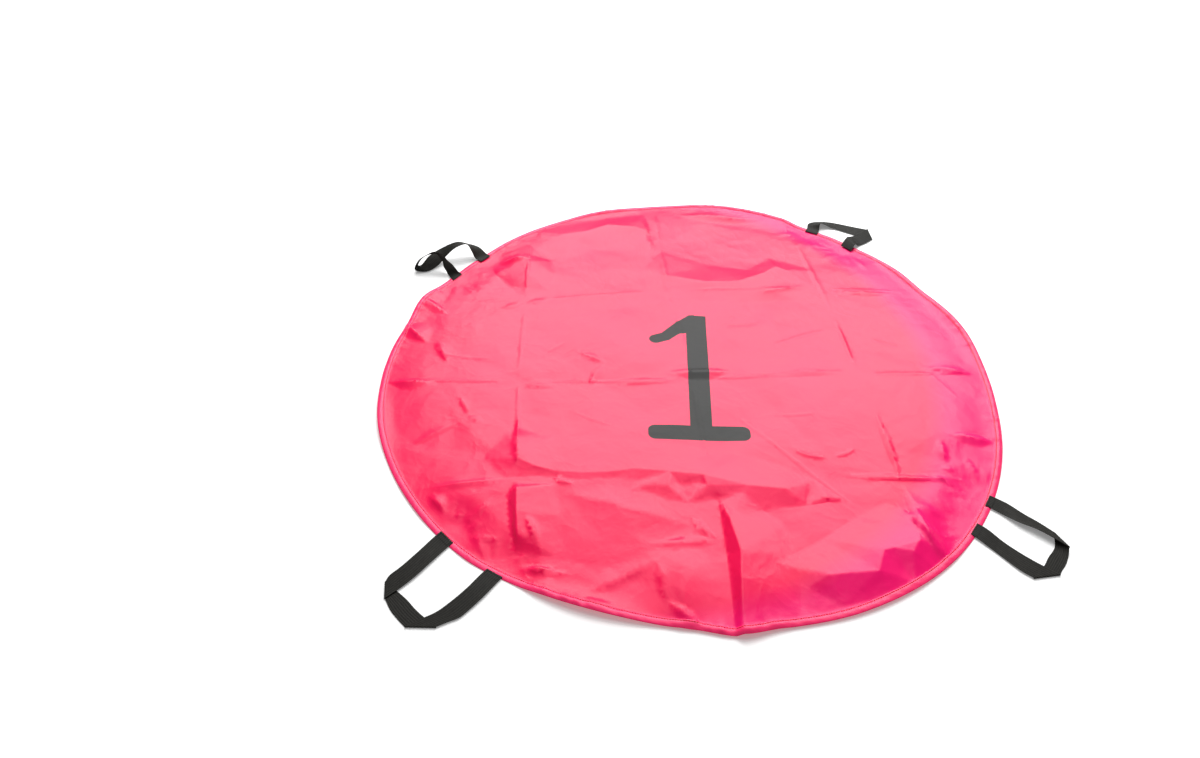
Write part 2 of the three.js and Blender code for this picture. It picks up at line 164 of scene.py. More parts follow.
# Places where the sheet breaks into larger facets, as corners that stand at a height: the two near
# upright creases, the near level crease, the near right edge, and the far left and far middle.
CORNER_COLUMNS = "x y z"
FACETS = [
    [
        (-415, -388, 3), (-414, -402, 12), (-413, -461, 12), (-410, -518, 9), (-407, -594, 0),
        (-431, -408, 0), (-430, -426, 0), (-422, -499, 0), (-413, -560, 0), (-332, -390, 0),
        (-318, -470, 0), (-340, -566, 0), (-418, -376, 0),
    ],
    [
        (11, -424, 0), (20, -504, 14), (27, -588, 20), (17, -644, 18), (4, -742, 10), (0, -790, 6),
        (7, -449, 0), (1, -587, 0), (-9, -741, 0), (-14, -790, 0), (60, -436, 0), (130, -520, 0),
        (142, -600, 0), (124, -700, 0), (70, -790, 0),
    ],
    [
        (-486, -306, 0), (-412, -318, 10), (-376, -340, 8), (-335, -355, 5), (-273, -364, 4.5),
        (-211, -364, 4.5), (-161, -358, 5), (-87, -370, 6), (-14, -384, 7.5), (72, -421, 11.5),
        (151, -431, 9.5), (235, -455, 4), (272, -459, 0), (-440, -366, 0), (-413, -364, 0),
        (-376, -364, 0), (-335, -369, 0), (-282, -379, 0), (-212, -377, 0), (-150, -386, 0),
        (-70, -401, 0.5), (-24, -399, 2), (-140, -404, 3), (-92, -411, 5.5), (-12, -412, 6),
        (-176, -414, 0), (-133, -422, 0), (-95, -443, 0), (-56, -450, 0), (0, -443, 0), (46, -494, 0),
        (132, -475, 0), (190, -470, 0), (-440, -214, 0), (-330, -244, 0), (-230, -262, 0),
        (-140, -272, 0), (-40, -290, 0), (60, -318, 0), (150, -356, 0), (220, -404, 0),
    ],
    [
        (143, -664, 4), (185, -645, 13), (285, -641, 16), (308, -596, 16), (328, -591, 15.5),
        (368, -600, 16), (388, -575, 15), (396, -548, 9), (128, -706, 0), (153, -712, 0),
        (198, -704, 0.5), (297, -688, 0.5), (353, -663, 0.5), (404, -630, 0.5), (445, -602, 0),
        (468, -580, 0), (440, -540, 0), (90, -610, 0), (200, -556, 0), (290, -500, 0), (350, -470, 0),
        (412, -500, 0),
    ],
    [
        (-404, 484, 4), (-402, 437, 13), (-400, 380, 12), (-399, 320, 3), (-532, 446, 0), (-498, 406, 0),
        (-451, 330, 0), (-408, 280, 0), (-330, 452, 0), (-322, 390, 0), (-344, 308, 0), (-501, 486, 0),
        (-398, 540, 0),
    ],
    [
        (-17, 362, 8), (96, 318, 11), (188, 316, 11), (266, 353, 10), (310, 384, 9), (340, 366, 6),
        (-20, 262, 0), (23, 257, 0), (100, 234, 0), (179, 229, 0), (341, 232, 0), (404, 276, 0),
        (-4, 492, 0), (131, 411, 0), (228, 384, 1), (300, 440, 0), (420, 372, 0), (-60, 300, 0),
        (-70, 400, 0),
    ],
    [
        (-372, 606, 2), (-300, 588, 6), (-230, 596, 8), (-160, 632, 9), (-76, 618, 8), (-36, 596, 4),
        (-305, 455, 0), (-191, 509, 0), (-112, 587, 4), (-78, 504, 0), (-34, 404, 0), (-360, 540, 0),
        (-300, 680, 0), (-160, 700, 0), (-38, 700, 0),
    ],
]

# Stretches where the rim stands off the floor.
RIM_LIFTS = table("at half high inward", [
    (68, 20, 12, 95), (9, 17, 9, 40), (27, 8, 6, 34), (-66, 15, 3, 40),
    (-112, 13, 9, 55), (157, 7, 7, 60), (104, 12, 6, 45), (-166, 10, 5, 40),
])

# Thin straight creases that the packing pressed in, and a few small sharp wrinkles between them.
CREASE_HALF = 4.5
CREASES = table("x0 y0 x1 y1 high bow", [
    (-407, -594, -412, -740, 1.5, 0),
    (-414, -298, -418, -30, 1.5, 0),
    (-418, -50, -405, 256, 1.8, 0),
    (-405, 250, -391, 594, 1.8, 0),
    (3, -380, 2, -60, 1.6, 0),
    (404, -420, 414, -180, 1.0, 0),
    (410, -70, 418, 159, 1.4, 0),
    (398, 536, 382, 640, 1.6, 0),
    (-725, -40, -410, -58, 1.6, 0),
    (-418, -58, 20, -76, 1.6, 0),
    (-20, -70, 410, -76, 1.6, 0),
    (400, -76, 735, -82, 1.6, 0),
    (-612, -380, -430, -368, 1.2, 0),
    (290, -404, 610, -414, 1.2, 0),
    (-640, 282, -400, 262, 1.1, 0),
    (-404, 262, 0, 300, 1.1, 0),
    (0, 290, 400, 282, 1.1, 0),
    (400, 282, 660, 258, 1.3, 0),
    (50, -143, 332, -532, 1.1, 6),
    (200, 35, 415, 110, 1.4, -5),
    (100, 140, 235, 135, 1.6, 7),
    (130, 150, 160, 175, 1.4, 0),
    (190, -312, 271, -342, 2.4, 8),
    (271, -342, 341, -312, 2.0, 6),
    (372, -457, 398, -547, 1.4, 0),
    (410, -485, 416, -596, 1.4, 4),
    (-291, 92, -360, 40, 1.2, 0),
    (-620, 60, -470, 30, 1.2, 8),
    (150, -200, 290, -205, 1.1, 6),
    (480, 60, 560, 20, 1.3, 0),
    (590, -64, 640, -180, 1.2, 5),
    (-300, -160, -180, -230, 1.2, 6),
])

# Where the hand loops are sewn on: the middle of each cut end, which lies on the stitch line.
SEWN_ENDS = table("x y", [
    (574.5, -470), (517, -540), (-550.5, -508), (-451.5, -597.5),
    (463, 576.5), (546, 487), (-523.5, 479.5), (-598.5, 390),
])

# The main folds are flat this near to a sewn end, and whole again at the reach.
SEWN_FLAT = 37
SEWN_REACH = 100

# A fold falls away from its crest by a power. It rises over a share of its run at both ends, where its
# width narrows by a share too.
SOFT_POWER = 1.7
KNIFE_POWER = 1.12
END_SHARE = 0.42
NARROWING = 0.85


def smooth(value):
    """A soft step, from 0 at 0 to 1 at 1."""
    t = np.clip(value, 0, 1)
    return t * t * (3 - 2 * t)


def between(t, start, end, slope_in, slope_out):
    """A smooth curve at a share t of the way from start to end, with its slopes there."""
    return (
        (2 * t**3 - 3 * t**2 + 1) * start
        + (t**3 - 2 * t**2 + t) * slope_in
        + (3 * t**2 - 2 * t**3) * end
        + (t**3 - t**2) * slope_out
    )


def rim_radius(angle):
    """Radius of the rim at angles in degrees, as a smooth closed curve through the table's rows."""
    at = np.array([row["at"] for row in RIM], float)
    radius = np.array([row["radius"] for row in RIM], float)
    turn = (np.asarray(angle, float) + 180) % 360 - 180
    i = np.searchsorted(at, turn, side="right") - 1
    count = len(at)
    span = (at[(i + 1) % count] - at[i]) % 360
    t = (turn - at[i]) / span
    a, b, c, d = (radius[(i + k) % count] for k in (-1, 0, 1, 2))
    return between(t, b, c, (c - a) / 2, (d - b) / 2)


def from_rim(x, y):
    """The angle of each place in degrees, and how far it lies inside the rim."""
    angle = np.degrees(np.arctan2(y, x))
    return angle, rim_radius(angle) - np.hypot(x, y)


def off_sewn_ends(x, y, flat, reach):
    """0 where the cloth is held flat around the sewn ends, and 1 beyond their reach."""
    share = 1
    for end in SEWN_ENDS:
        near = np.hypot(x - end["x"], y - end["y"])
        share = share * smooth((near - flat) / (reach - flat))
    return share


def fold_ends(along):
    """How far a fold has risen at a share of its run, from nothing at both ends to 1."""
    return smooth(along / END_SHARE) * smooth((1 - along) / END_SHARE)


def fold_height(fold, x, y, power):
    """Height of one fold at each place."""
    dx, dy = fold["x1"] - fold["x0"], fold["y1"] - fold["y0"]
    length = math.hypot(dx, dy)
    along = ((x - fold["x0"]) * dx + (y - fold["y0"]) * dy) / length**2
    bow = fold["bow"] * 4 * along * (1 - along)
    across = ((x - fold["x0"]) * dy - (y - fold["y0"]) * dx) / length - bow
    ends = fold_ends(along)
    wide = np.where(across > 0, fold["right"], fold["left"]) * (1 - NARROWING * (1 - ends))
    return fold["high"] * ends * np.clip(1 - np.abs(across) / wide, 0, 1) ** power


def fold_line(fold, share, offset):
    """Points along a fold's run, beside its crest by an offset, which narrows with its ends."""
    dx, dy = fold["x1"] - fold["x0"], fold["y1"] - fold["y0"]
    length = math.hypot(dx, dy)
    aside = offset * (1 - NARROWING * (1 - fold_ends(share))) + fold["bow"] * 4 * share * (1 - share)
    return np.column_stack([
        fold["x0"] + dx * share + dy / length * aside,
        fold["y0"] + dy * share - dx / length * aside,
    ])


def lift_height(lift, angle, inside):
    """Height of one raised stretch of the rim."""
    off = np.abs((angle - lift["at"] + 180) % 360 - 180) / lift["half"]
    up = np.clip(1 - off**2, 0, 1) ** 2
    return lift["high"] * up * smooth(1 - inside / lift["inward"])


# How points are joined into triangles, and how near to each other they merge.
WHOLE_HULL = 0
INSIDE_ONLY = 1
NET_MERGE = 1e-4
SHEET_MERGE = 1e-3
RAY_FROM = 60


def facet_net(rows):
    """A net of flat triangles through the corners in a table."""
    corners = [(row["x"], row["y"], row["z"]) for row in rows]
    flat = [Vector(corner[:2]) for corner in corners]
    made = geometry.delaunay_2d_cdt(flat, [], [], WHOLE_HULL, NET_MERGE)
    tree = BVHTree.FromPolygons([Vector(corner) for corner in corners], made[2])
    return {"corners": corners, "edges": made[1], "tree": tree}


def net_height(net, x, y):
    """Height of a net at each place, from a ray that comes down on it, and 0 beside it."""
    down = Vector((0, 0, -1))
    met = [net["tree"].ray_cast(Vector((px, py, RAY_FROM)), down)[0] for px, py in zip(x, y)]
    return np.array([place.z if place else 0 for place in met])


facet_nets = [facet_net(table(CORNER_COLUMNS, corners)) for corners in FACETS]


def main_height(x, y):
    """Height of the underside over the floor, from the main folds and the raised rim."""
    angle, inside = from_rim(x, y)
    height = sum(fold_height(fold, x, y, SOFT_POWER) for fold in SOFT_FOLDS)
    height = height + sum(fold_height(fold, x, y, KNIFE_POWER) for fold in KNIFE_FOLDS)
    height = height + sum(net_height(net, x, y) for net in facet_nets)
    height = height + sum(lift_height(lift, angle, inside) for lift in RIM_LIFTS)
    return height * off_sewn_ends(x, y, SEWN_FLAT, SEWN_REACH)


# The squares between the packing creases lean a little each way: the places where the creases cross,
# and how high each stands.
PANEL_CORNERS = table(CORNER_COLUMNS, [
    (-860, -860, 0), (-392, -860, 0), (30, -860, 3), (438, -860, 0), (860, -860, 0),
    (-860, -374, 0), (-404, -386, 7), (14, -396, 9), (420, -404, 6), (860, -414, 0),
    (-860, -30, 5), (-417, -55, 1), (2, -76, 5), (406, -79, 8), (860, -86, 3),
    (-860, 276, 0), (-397, 289, 6), (-4, 300, 1), (398, 276, 5), (860, 246, 0),
    (-860, 860, 0), (-356, 860, 4), (-12, 860, 5), (386, 860, 1), (860, 860, 0),
])

# Crumples. Thin cloth that was packed breaks into flat facets, so two nets of random facets lie over
# each other, one coarse and one fine, with a pitch, a most height and a share of the pitch by which a
# corner strays. They are calmed by a share where the larger facets stand high, and lower at the rim.
NETS = table("pitch high stray", [(135, 6.5, 0.42), (46, 1.5, 0.42)])
CALMED = 0.7
CALM_HIGH = 5
NET_AT_RIM = 0.4
NET_RIM_REACH = 115
FINE_FLAT = 27
FINE_REACH = 105
SEED = 11
random = np.random.default_rng(SEED)


def random_corners(pitch, high, stray):
    """A table of corners near the places of a square grid, at random heights."""
    steps = int((RADIUS + 2 * pitch) / pitch)
    corners = []
    for row in range(-steps, steps + 1):
        for column in range(-steps, steps + 1):
            dx, dy = random.uniform(-stray, stray), random.uniform(-stray, stray)
            corners.append(((column + dx) * pitch, (row + dy) * pitch, random.uniform(0, high)))
    return table(CORNER_COLUMNS, corners)


# Short creases that run inwards from each sewn end, where the loop pulls at the hem: how each turns from
# straight inwards in degrees, and the least and most of its stray, start, reach, height and width.
PULL_TURNS = (-66, -46, -24, -3, 20, 43, 66)
PULL_STRAY = (-7, 7)
PULL_START = (12, 20)
PULL_REACH = (55, 115)
PULL_HIGH = (2.4, 4.4)
PULL_WIDE = (7, 12)
PULLS = []
for end in SEWN_ENDS:
    inward = math.atan2(-end["y"], -end["x"])
    for turn in PULL_TURNS:
        way = inward + math.radians(turn + random.uniform(*PULL_STRAY))
        start, reach = random.uniform(*PULL_START), random.uniform(*PULL_REACH)
        x, y = end["x"] + start * math.cos(way), end["y"] + start * math.sin(way)
        run = (x, y, x + reach * math.cos(way), y + reach * math.sin(way))
        sizes = (random.uniform(*PULL_HIGH), random.uniform(*PULL_WIDE), random.uniform(*PULL_WIDE), 0)
        PULLS += table(FOLD_COLUMNS, [run + sizes])

# The hem is cut on a curve, so its inner edge is too long and puckers. Each wave has a length along the
# rim, half of its height behind the stitches, and a shift. They swell and fade along the rim.
PUCKERS = table("length high shift", [(23, 0.5, 0.0), (31, 0.55, 1.9), (57, 0.9, 4.1)])
PUCKER_FROM = 8
PUCKER_REACH = 48
SWELL_RUN = 97
SWELL_WANDER = 211

panel_net = facet_net(PANEL_CORNERS)
coarse_net = facet_net(random_corners(**NETS[0]))
fine_net = facet_net(random_corners(**NETS[1]))


def wave_height(waves, along):
    """Height of all the waves together at places along the rim, from nothing upwards."""
    turns = [2 * math.pi * along / wave["length"] + wave["shift"] for wave in waves]
    return sum(wave["high"] * (1 + np.sin(turn)) for wave, turn in zip(waves, turns))


def fine_height(x, y):
    """What the panels, crumples, small creases and puckers add to the main folds."""
    angle, inside = from_rim(x, y)
    middle = sum(net["high"] for net in NETS) / 2
    crumple = net_height(coarse_net, x, y) + net_height(fine_net, x, y) - middle
    crumple *= 1 - CALMED * smooth(sum(net_height(net, x, y) for net in facet_nets) / CALM_HIGH)
    height = net_height(panel_net, x, y) + middle + crumple
    height *= NET_AT_RIM + (1 - NET_AT_RIM) * smooth(inside / NET_RIM_REACH)
    for crease in CREASES:
        height += fold_height({**crease, "left": CREASE_HALF, "right": CREASE_HALF}, x, y, 1)
    for pull in PULLS:
        height += fold_height(pull, x, y, KNIFE_POWER)
    along = np.radians(angle) * RADIUS
    swell = 0.5 + 0.5 * np.sin(along / SWELL_RUN + 2 * np.sin(along / SWELL_WANDER))
    behind_stitches = smooth(1 - inside / PUCKER_REACH) * smooth(inside / PUCKER_FROM)
    height += wave_height(PUCKERS, along) * swell * behind_stitches
    return height * off_sewn_ends(x, y, FINE_FLAT, FINE_REACH)


def lying_height(x, y):
    """Height of the underside over the floor."""
    return main_height(x, y) + fine_height(x, y)


# The mesh of the sheet. Every crest, foot and facet edge is a row of joined points, so that it stays
# crisp, and a high crest has a row close beside it on both sides. Rings of points run behind the hem, at
# insets from the rim, and an even fill takes the rest.
SECTORS = 960
RINGS = (17, 22, 27, 33, 40)
FILL_PITCH = 7.4
ROW_PITCH = 5.5
ROW_CLEAR = 2.2
CREST_LEAST = 3.5
CREST_BESIDE = 3.2
FILL_CLEAR = 4.4

sector_angles = np.arange(SECTORS) * 360 / SECTORS
rim_at_sector = rim_radius(sector_angles)


def ring_points(inset):
    """Places at every sector, at one inset from the rim."""
    radius = rim_at_sector - inset
    turn = np.radians(sector_angles)
    return radius * np.cos(turn), radius * np.sin(turn)


rows = []
for fold in KNIFE_FOLDS + SOFT_FOLDS + CREASES + PULLS:
    length = math.dist((fold["x0"], fold["y0"]), (fold["x1"], fold["y1"]))
    steps = np.linspace(0, 1, int(length / ROW_PITCH))
    beside = (0,)
    if fold in KNIFE_FOLDS:
        beside = (0, -fold["left"], fold["right"])
    if fold in CREASES:
        beside = (0, -CREASE_HALF, CREASE_HALF)
    for offset in beside:
        rows.append(fold_line(fold, steps, offset))
for net in facet_nets + [coarse_net]:
    for a, b in net["edges"]:
        ends = np.array([net["corners"][a], net["corners"][b]])
        is_crest = net is not coarse_net and min(ends[:, 2]) > CREST_LEAST
        ends = ends[:, :2]
        run = ends[1] - ends[0]
        pitch = ROW_PITCH if is_crest else FILL_PITCH
        steps = np.linspace(0, 1, int(np.linalg.norm(run) / pitch) + 2)[:, None]
        row = ends[0] * (1 - steps) + ends[1] * steps
        rows.append(row)
        if is_crest:
            aside = np.array([run[1], -run[0]]) / np.linalg.norm(run) * CREST_BESIDE
            rows += [row + aside, row - aside]

points = []
for inset in RINGS:
    points += list(zip(*ring_points(inset)))
links = []
cells = {}
for row in rows:
    before = None
    for (x, y), room in zip(row, from_rim(*row.T)[1]):
        if room < RINGS[-1] + ROW_CLEAR:
            before = None
            continue
        column, line = int(x // ROW_CLEAR), int(y // ROW_CLEAR)
        around = [cells.get((column + i, line + j)) for i in (-1, 0, 1) for j in (-1, 0, 1)]
        near = [k for k in around if k is not None and math.dist(points[k], (x, y)) < ROW_CLEAR]
        if near:
            here = near[0]
        else:
            here = len(points)
            cells[column, line] = here
            points.append((x, y))
        if before is not None and before != here:
            links.append((before, here))
        before = here
taken = kdtree.KDTree(len(points))
for i, (x, y) in enumerate(points):
    taken.insert((x, y, 0), i)
taken.balance()
fill_gap = FILL_PITCH * math.sqrt(3) / 2
lines = int(RADIUS / fill_gap) + 2
columns = int(RADIUS / FILL_PITCH) + 2
fill = np.array([
    ((column + (line % 2) / 2) * FILL_PITCH, line * fill_gap)
    for line in range(-lines, lines + 1)
    for column in range(-columns, columns + 1)
])
fill = fill[from_rim(*fill.T)[1] > RINGS[-1]]
points += [(x, y) for x, y in fill if taken.find((x, y, 0))[2] > FILL_CLEAR]

flat_points = [Vector(point) for point in points]
rim_face = [list(range(SECTORS))]
made = geometry.delaunay_2d_cdt(flat_points, links, rim_face, INSIDE_ONLY, SHEET_MERGE)
plan = np.array([tuple(point) for point in made[0]])
order = {source: i for i, sources in enumerate(made[3]) for source in sources}
sheet_faces = [list(face) for face in made[2]]
first_ring = [order[i] for i in range(SECTORS)]
height = lying_height(plan[:, 0], plan[:, 1]) + UNDER_GAP

# The hem's section from the stitch side to the outer fold and back under: inset from the rim, and
# height over the underside. Slanting ripples run along it and are highest at its middle.
HEM_SECTION = table("inset high", [
    (15.9, 0.75), (15.4, 1.55), (14.6, 1.7), (13.8, 1.3), (13.0, 1.75), (10.0, 2.15),
    (6.0, 2.2), (2.6, 1.95), (0.7, 1.5), (0.0, 0.9), (0.5, 0.25), (5.0, 0.0),
])
HEM_MIDDLE = 7
ROPING = table("length high shift", [(17, 0.15, 0.0), (27, 0.175, 2.1)])
ROPING_SKEW = 1.4


def roping(inset):
    """How much the ripples add at each sector, as a share of the hem's height there."""
    along = np.radians(sector_angles) * RADIUS + inset * ROPING_SKEW
    return wave_height(ROPING, along) * smooth(1 - abs(inset - HEM_MIDDLE) / HEM_MIDDLE)


vertices = [(x, y, z + over) for over in (SHEET_THICK, 0) for (x, y), z in zip(plan, height)]
count = len(plan)
faces = []
for face in sheet_faces:
    faces.append(face)
    faces.append([count + corner for corner in reversed(face)])
rings = [first_ring]
for station in HEM_SECTION:
    x, y = ring_points(station["inset"])
    z = lying_height(x, y) + UNDER_GAP + station["high"] + roping(station["inset"]) * station["high"]
    rings.append(list(range(len(vertices), len(vertices) + SECTORS)))
    vertices += list(zip(x, y, z))
rings.append([count + corner for corner in first_ring])
for inner, outer in zip(rings, rings[1:]):
    for i in range(SECTORS):
        j = (i + 1) % SECTORS
        faces.append([inner[i], outer[i], outer[j], inner[j]])


def mesh_object(name, vertices, faces, edges=()):
    """A smooth-shaded object from points in millimetres."""
    mesh = bpy.data.meshes.new(name)
    mesh.from_pydata((np.array(vertices) * MM).tolist(), list(edges), faces)
    mesh.update()
    if faces:
        mesh.shade_smooth()
    return put_in_scene(name, mesh)


canopy = mesh_object("canopy_cloth", vertices, faces)
in_hem = canopy.data.attributes.new("in_hem", "FLOAT", "POINT")
in_hem.data.foreach_set("value", [0.0] * (2 * count) + [1.0] * (len(vertices) - 2 * count))

# Polyester taffeta, woven fine and calendered, so it has a soft broad gloss. Its dye is a deep magenta
# pink. The gloss lays the white of a lamp over it, so facets that lean to the lamp look coral and pale.
# The print's ink is nearly black and rougher, so it looks an even dark grey. Scales of noise are per
# metre, and depths of bumps are in millimetres.
TAFFETA_PINK = "#fa0a4c"
TAFFETA_DEEP = "#f20055"
# Painted shade: the deeper magenta laid on the right rim's band.
PAINTED_SHADE_MAGENTA = "#f40069"
HEM_PINK = "#fb2f6c"
PRINT_GREY = "#1b1b19"
GLOSS_LEVEL = 0.28
GLOSS_ROUGH = 0.34
PRINT_ROUGH = 0.53
DYE_SCALE = 5


def linear(colour):
    """An sRGB hex colour as linear values, with full alpha."""
    channels = [int(colour[i : i + 2], 16) / 255 for i in (1, 3, 5)]
    return tuple(c / 12.92 if c <= 0.04045 else ((c + 0.055) / 1.055) ** 2.4 for c in channels) + (1,)


def add_node(tree, kind, inputs=None, **settings):
    """A node with its settings, and its inputs as values or as links from other nodes' sockets."""
    node = tree.nodes.new(kind)
    for name, value in settings.items():
        setattr(node, name, value)
    for name, value in (inputs or {}).items():
        if isinstance(value, bpy.types.NodeSocket):
            tree.links.new(value, node.inputs[name])
        else:
            node.inputs[name].default_value = value
    return node


def new_material(name):
    """A material with no nodes yet, and its node tree."""
    material = bpy.data.materials.new(name)
    material.use_nodes = True
    material.node_tree.nodes.clear()
    return material, material.node_tree


def surface(tree, inputs):
    """The material's surface, joined to its output."""
    shader = add_node(tree, "ShaderNodeBsdfPrincipled", inputs)
    add_node(tree, "ShaderNodeOutputMaterial", {"Surface": shader.outputs[0]})


def noise(tree, at, scale, detail=2):
    return add_node(tree, "ShaderNodeTexNoise", {"Vector": at, "Scale": scale, "Detail": detail}).outputs


def mixed(tree, share, first, second):
    """A blend of two colours, each of them a hex colour or a socket."""
    first, second = (linear(each) if isinstance(each, str) else each for each in (first, second))
    return add_node(tree, "ShaderNodeMix", {0: share, 6: first, 7: second}, data_type="RGBA").outputs[2]


def bumped(tree, height, deep, inputs=None):
    """A bump whose height of 1 is so many millimetres deep."""
    given = {"Height": height, "Distance": deep * MM, **(inputs or {})}
    return add_node(tree, "ShaderNodeBump", given).outputs[0]


taffeta, tree = new_material("taffeta_pink_printed")
place = add_node(tree, "ShaderNodeTexCoord").outputs["Object"]
in_mm = add_node(tree, "ShaderNodeVectorMath", {0: place, "Scale": 1 / MM}, operation="SCALE").outputs[0]
split = add_node(tree, "ShaderNodeSeparateXYZ", {0: in_mm})
place_x, place_y = split.outputs["X"], split.outputs["Y"]


def maths(operation, *values):
    """The result of a maths node in the cloth's tree."""
    inputs = dict(enumerate(values))
    return add_node(tree, "ShaderNodeMath", inputs, operation=operation).outputs[0]


def largest(values):
    found = values[0]
    for value in values[1:]:
        found = maths("MAXIMUM", found, value)
    return found


def right_of(x0, y0, x1, y1):
    """Distance to the right of the line from one point to another, in millimetres."""
    length = math.hypot(x1 - x0, y1 - y0)
    right_x, right_y = (y1 - y0) / length, -(x1 - x0) / length
    run = maths("MULTIPLY_ADD", place_x, right_x, -(x0 * right_x + y0 * right_y))
    return maths("MULTIPLY_ADD", place_y, right_y, run)


def round_bar(x0, y0, x1, y1, half, corner):
    """Distance outside a bar with rounded corners, from one end's middle to the other's."""
    middle_x, middle_y = (x0 + x1) / 2, (y0 + y1) / 2
    along = right_of(middle_x, middle_y, middle_x + (y1 - y0), middle_y - (x1 - x0))
    beside = right_of(x0, y0, x1, y1)
    straight = math.hypot(x1 - x0, y1 - y0) / 2 - corner
    past_end = maths("MAXIMUM", maths("SUBTRACT", maths("ABSOLUTE", along), straight), 0)
    past_side = maths("MAXIMUM", maths("SUBTRACT", maths("ABSOLUTE", beside), half - corner), 0)
    squares = maths("MULTIPLY_ADD", past_end, past_end, maths("MULTIPLY", past_side, past_side))
    return maths("SUBTRACT", maths("SQRT", squares), corner)


# The printed numeral: a foot bar, a leaning stem, and a flag that thins out to a round tip. Sides run
# so that the outside is on their right.
foot = round_bar(-120, -245, 111, -262, 23, 17)
stem = largest([
    right_of(13.5, 106, -22.7, -240),
    right_of(30, 181, 13.5, 106),
    right_of(75, 174, 30, 181),
    right_of(28, -240, 75, 174),
    right_of(-22, -250, 28, -250),
])
tip = round_bar(-84, 78, -25, 99, 17, 17)
under_flag = maths("MINIMUM", right_of(-36, 76, -9, 99), right_of(-9, 99, 14, 106))
flag = largest([
    right_of(-5, 155, -51, 107),
    right_of(31, 181, -5, 155),
    right_of(60, 181, 31, 181),
    right_of(45, 90, 45, 181),
    right_of(-51, 108, -37, 76),
    under_flag,
])
print_edge = maths("MINIMUM", maths("MINIMUM", foot, stem), maths("MINIMUM", tip, flag))
printed = maths("LESS_THAN", print_edge, 0)

# The dye varies a little over the cloth, at about the width of a hand. Beyond a wide circle whose middle
# # lies off to the left, a deeper magenta is painted in as shade, where the right rim loses the lamp's
# # gloss and the thin cloth darkens over what lies beneath; it makes a curved band at the right.
CRESCENT_FROM = (-150, 30)
CRESCENT_START = 725
CRESCENT_FULL = 775
shade = noise(tree, place, DYE_SCALE, 3)["Fac"]
cloth_colour = mixed(tree, shade, TAFFETA_PINK, TAFFETA_DEEP)
past = add_node(
    tree, "ShaderNodeVectorMath", {0: in_mm, 1: (*CRESCENT_FROM, 0)}, operation="DISTANCE"
).outputs["Value"]
painted_shade_share = add_node(tree, "ShaderNodeMapRange", {
    "Value": past, "From Min": CRESCENT_START, "From Max": CRESCENT_FULL,
}).outputs[0]
# The painted shade is mixed in over the right rim's band.
cloth_colour = mixed(tree, painted_shade_share, cloth_colour, PAINTED_SHADE_MAGENTA)
hem_share = add_node(tree, "ShaderNodeAttribute", attribute_name="in_hem").outputs["Fac"]
cloth_colour = mixed(tree, hem_share, cloth_colour, HEM_PINK)
colour = mixed(tree, printed, cloth_colour, PRINT_GREY)

# Small wrinkles. Cells whose places wander give the cloth shallow dents of two sizes.
WANDER_SCALE = 9
WANDER_FAR = (0.09, 0.09, 0)
DENTS = table("scale deep", [(24, 0.8), (61, 0.25)])
wander = noise(tree, place, WANDER_SCALE)["Color"]
strayed = add_node(
    tree, "ShaderNodeVectorMath", {0: wander, 1: WANDER_FAR, 2: place}, operation="MULTIPLY_ADD"
).outputs[0]
under = {}
for dent in DENTS:
    cells = add_node(tree, "ShaderNodeTexVoronoi", {"Vector": strayed, "Scale": dent["scale"]})
    under = {"Normal": bumped(tree, cells.outputs["Distance"], dent["deep"], under)}

# The weave. The two sets of threads cross in a fine even check, which breaks up the gloss close by. Real
# threads are 0.26 mm apart. They are drawn five times coarser, so that the check shows at all.
THREAD_APART = 1.3
WEAVE_DEEP = 0.01
warp, weft = (maths("SINE", maths("MULTIPLY", at, math.pi / THREAD_APART)) for at in (place_x, place_y))
bump = bumped(tree, maths("MULTIPLY", warp, weft), WEAVE_DEEP, under)
roughness = add_node(
    tree, "ShaderNodeMapRange", {"Value": printed, "To Min": GLOSS_ROUGH, "To Max": PRINT_ROUGH}
).outputs[0]
surface(tree, {
    "Base Color": colour, "Roughness": roughness, "Normal": bump, "Specular IOR Level": GLOSS_LEVEL,
})
canopy.data.materials.append(taffeta)

# The hem stitches. One row of orange-red polyester thread runs round the hem, in short stitches that
# sink into the cloth. The thread is drawn five times as thick as the real 0.3 mm, so that it shows.
THREAD_ORANGE = "#d82e00"
STITCH_PITCH = 5
STITCH_LONG = 4.3
THREAD_HALF = 0.78
STITCH_INSET = 13.8
THREAD_OVER = 1.7
STITCH_LEAN = 0.16
TWIST_SCALE = 1500
TWIST_DEEP = 0.2


